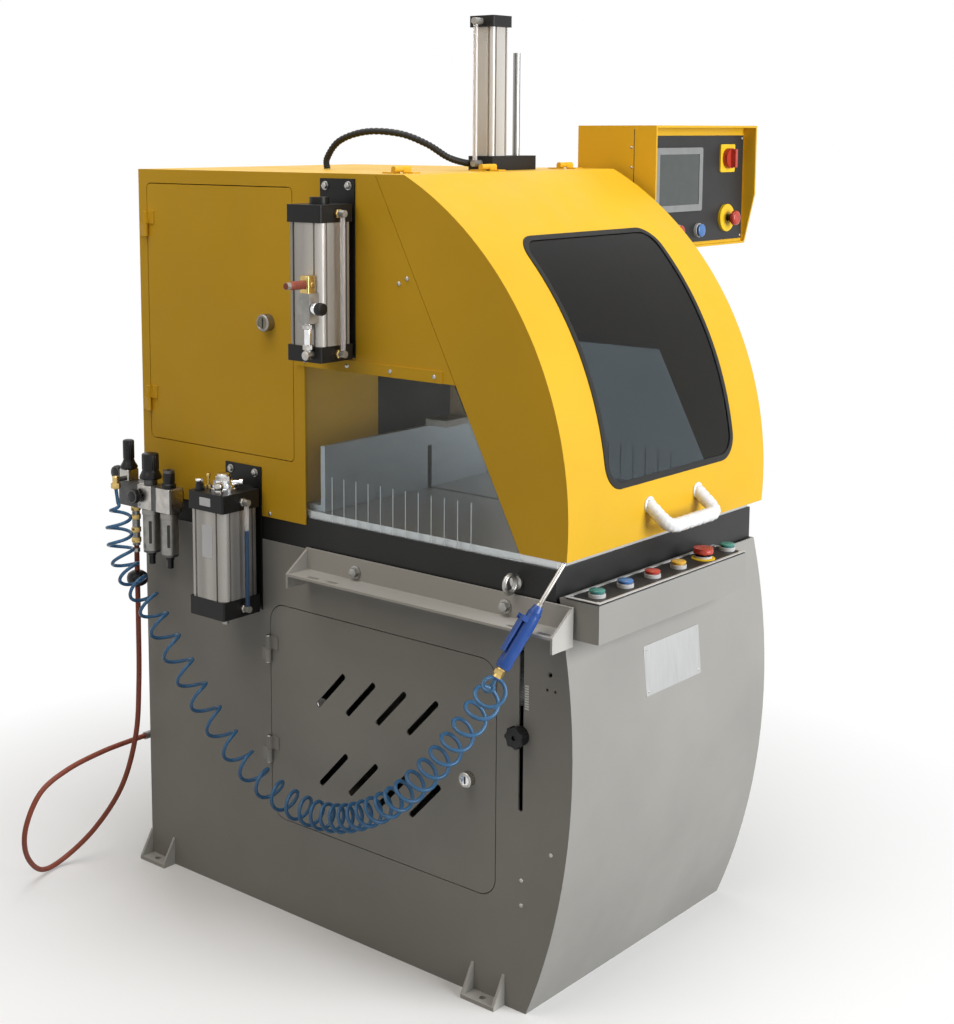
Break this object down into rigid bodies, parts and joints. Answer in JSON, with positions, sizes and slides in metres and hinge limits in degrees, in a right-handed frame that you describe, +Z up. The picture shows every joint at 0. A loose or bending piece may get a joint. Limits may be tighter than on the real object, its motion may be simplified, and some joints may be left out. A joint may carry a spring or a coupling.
{
  "type": "upcut saw",
  "caption": "Floor-standing upcut saw: bowed cabinet, curved hinged hood with window, swing-up blade, air clamp, oil tanks, air unit, console.",
  "frame": {"origin": "on the floor, at the centre of the four foot holes", "axes": "+X to the operator's right, +Y to the rear, +Z up"},
  "size_m": [1.5223, 1.385, 1.956],
  "materials": {
    "yellow_paint": "gloss",
    "grey_paint": "semi-gloss",
    "box_paint": "semi-gloss",
    "black_paint": "satin",
    "bright_steel": "brushed",
    "cylinder_aluminium": "satin",
    "black_caps": "satin",
    "black_plate": "satin",
    "black_plastic": "matte",
    "latch_chrome": "polished",
    "motor_paint": "satin",
    "belt_rubber": "matte",
    "clear_sheet": "clear",
    "clear_tube": "clear",
    "window_tint": "tinted",
    "handle_film": "film wrapped",
    "panel_grey": "satin",
    "brass": "plain",
    "unit_metal": "cast",
    "teal_plastic": "gloss",
    "blue_plastic": "gloss",
    "red_plastic": "gloss",
    "yellow_plastic": "gloss",
    "green_plastic": "gloss",
    "screen": "gloss",
    "lever_metal": "brushed",
    "hose_rubber": "matte",
    "coil_plastic": "clear blue",
    "loom_sleeve": "ribbed"
  },
  "bodies": {
    "frame": {"base_cabinet": "grey_paint", "floor_feet": "grey_paint", "table_deck": "black_paint", "table_top": "bright_steel", "rear_fence": "bright_steel", "rear_housing": "yellow_paint", "electrical_panel": "panel_grey", "side_curtains": "clear_sheet", "hinge_bases": "yellow_paint", "pivot_shaft": "bright_steel", "lift_cylinder": "cylinder_aluminium", "clamp_cylinder": "cylinder_aluminium", "tank_barrels": "cylinder_aluminium", "end_caps": "black_caps", "tank_brackets": "grey_paint", "clear_tubes": "clear_tube", "tank_fittings": "brass", "air_unit": "unit_metal", "outfeed_bracket": "grey_paint", "bracket_bolts": "bright_steel", "lifting_eye": "bright_steel", "control_box": "box_paint", "control_plates": "black_plate", "console_box": "yellow_paint", "console_screen": "screen", "blow_gun": "blue_plastic", "air_hose": "hose_rubber", "coil_hose": "coil_plastic", "top_loom": "loom_sleeve"},
    "hood": {"hood": "yellow_paint", "hood_window": "window_tint", "window_gasket": "belt_rubber", "hood_handle": "handle_film"},
    "cabinet_door": {"cabinet_door": "grey_paint"},
    "cabinet_latch": {"cabinet_latch": "latch_chrome"},
    "electrical_door": {"electrical_door": "yellow_paint"},
    "electrical_latch": {"electrical_latch": "black_plastic"},
    "stroke_knob": {"stroke_knob": "black_plastic"},
    "swing_arm": {"swing_arm": "black_paint", "motor": "motor_paint", "drive_belts": "belt_rubber"},
    "arbor": {"arbor": "bright_steel", "saw_blade": "bright_steel"},
    "motor_pulley": {"motor_pulley": "bright_steel"},
    "lift_rod": {"lift_rod": "bright_steel"},
    "clamp_ram": {"clamp_ram": "bright_steel"},
    "flow_knob": {"flow_knob": "black_plastic"},
    "regulator_knob": {"regulator_knob": "black_plastic"},
    "small_regulator_knob": {"small_regulator_knob": "black_plastic"},
    "gun_trigger": {"gun_trigger": "lever_metal"},
    "console_switch": {"console_switch": "red_plastic"},
    "console_stop": {"console_stop": "red_plastic"},
    "console_red_button": {"console_red_button": "red_plastic"},
    "console_blue_button": {"console_blue_button": "blue_plastic"},
    "teal_button": {"teal_button": "teal_plastic"},
    "blue_button": {"blue_button": "blue_plastic"},
    "red_button": {"red_button": "red_plastic"},
    "yellow_button": {"yellow_button": "yellow_plastic"},
    "stop_button": {"stop_button": "red_plastic"},
    "green_button": {"green_button": "green_plastic"}
  },
  "joints": [
    {"name": "hood_lift", "type": "hinge", "parent": "frame", "child": "hood", "pos_m": [0, -0.19, 1.636], "axis": [-1, 0, 0], "range_deg": [0, 50]},
    {"name": "cabinet_door_swing", "type": "hinge", "parent": "frame", "child": "cabinet_door", "pos_m": [-0.367, 0.118, 0.456], "axis": [0, 0, -1], "range_deg": [0, 80], "deforming": ["coil_hose"]},
    {"name": "cabinet_latch_turn", "type": "hinge", "parent": "cabinet_door", "child": "cabinet_latch", "pos_m": [-0.36, -0.439, 0.445], "axis": [-1, 0, 0], "range_deg": [0, 90]},
    {"name": "electrical_door_swing", "type": "hinge", "parent": "frame", "child": "electrical_door", "pos_m": [-0.367, 0.501, 1.307], "axis": [0, 0, -1], "range_deg": [0, 105]},
    {"name": "electrical_latch_turn", "type": "hinge", "parent": "electrical_door", "child": "electrical_latch", "pos_m": [-0.36, 0.114, 1.31], "axis": [-1, 0, 0], "range_deg": [0, 90]},
    {"name": "stroke_set", "type": "slide", "parent": "frame", "child": "stroke_knob", "axis": [0, 0, 1], "range_m": [-0.147, 0.184]},
    {"name": "arm_swing", "type": "hinge", "parent": "frame", "child": "swing_arm", "pos_m": [0, 0.2, 0.737], "axis": [-1, 0, 0], "range_deg": [0, 25]},
    {"name": "arbor_spin", "type": "hinge", "parent": "swing_arm", "child": "arbor", "pos_m": [0, -0.17099, 0.65475], "axis": [1, 0, 0], "continuous": true},
    {"name": "motor_spin", "type": "hinge", "parent": "swing_arm", "child": "motor_pulley", "pos_m": [0, 0.33, 0.56], "axis": [1, 0, 0], "continuous": true},
    {"name": "lift_stroke", "type": "slide", "parent": "frame", "child": "lift_rod", "axis": [0, 0, 1], "range_m": [0, 0.109]},
    {"name": "clamp_stroke", "type": "slide", "parent": "frame", "child": "clamp_ram", "axis": [0, 0, -1], "range_m": [0, 0.15]},
    {"name": "flow_turn", "type": "hinge", "parent": "frame", "child": "flow_knob", "pos_m": [-0.48075, -0.121, 1.366], "axis": [0, -1, 0], "range_deg": [-180, 180]},
    {"name": "regulator_turn", "type": "hinge", "parent": "frame", "child": "regulator_knob", "pos_m": [-0.42, 0.437, 0.96], "axis": [0, 0, 1], "range_deg": [-180, 180]},
    {"name": "small_regulator_turn", "type": "hinge", "parent": "frame", "child": "small_regulator_knob", "pos_m": [-0.42, 0.512, 0.98], "axis": [0, 0, 1], "range_deg": [-180, 180]},
    {"name": "trigger_pull", "type": "hinge", "parent": "frame", "child": "gun_trigger", "pos_m": [-0.44933, -0.6318, 0.83163], "axis": [-0.3931, -0.9195, 0], "range_deg": [0, 4], "stiffness_Nm_per_rad": 1},
    {"name": "switch_turn", "type": "hinge", "parent": "frame", "child": "console_switch", "pos_m": [0.735, -0.345, 1.647], "axis": [0, 1, 0], "range_deg": [0, 90]},
    {"name": "console_stop_press", "type": "slide", "parent": "frame", "child": "console_stop", "axis": [0, 1, 0], "range_m": [0, 0.004], "stiffness_N_per_m": 400},
    {"name": "console_red_press", "type": "slide", "parent": "frame", "child": "console_red_button", "axis": [0, 1, 0], "range_m": [0, 0.0025], "stiffness_N_per_m": 400},
    {"name": "console_blue_press", "type": "slide", "parent": "frame", "child": "console_blue_button", "axis": [0, 1, 0], "range_m": [0, 0.0025], "stiffness_N_per_m": 400},
    {"name": "teal_press", "type": "slide", "parent": "frame", "child": "teal_button", "axis": [0, 0, -1], "range_m": [0, 0.0025], "stiffness_N_per_m": 400},
    {"name": "blue_press", "type": "slide", "parent": "frame", "child": "blue_button", "axis": [0, 0, -1], "range_m": [0, 0.0025], "stiffness_N_per_m": 400},
    {"name": "red_press", "type": "slide", "parent": "frame", "child": "red_button", "axis": [0, 0, -1], "range_m": [0, 0.0025], "stiffness_N_per_m": 400},
    {"name": "yellow_press", "type": "slide", "parent": "frame", "child": "yellow_button", "axis": [0, 0, -1], "range_m": [0, 0.0025], "stiffness_N_per_m": 400},
    {"name": "stop_press", "type": "slide", "parent": "frame", "child": "stop_button", "axis": [0, 0, -1], "range_m": [0, 0.004], "stiffness_N_per_m": 400},
    {"name": "green_press", "type": "slide", "parent": "frame", "child": "green_button", "axis": [0, 0, -1], "range_m": [0, 0.0025], "stiffness_N_per_m": 400}
  ],
  "couplings": [
    {"joint": "motor_spin", "follows": "arbor_spin", "ratio": 1},
    {"joint": "lift_stroke", "follows": "arm_swing", "m_per_rad": 0.24802}
  ]
}
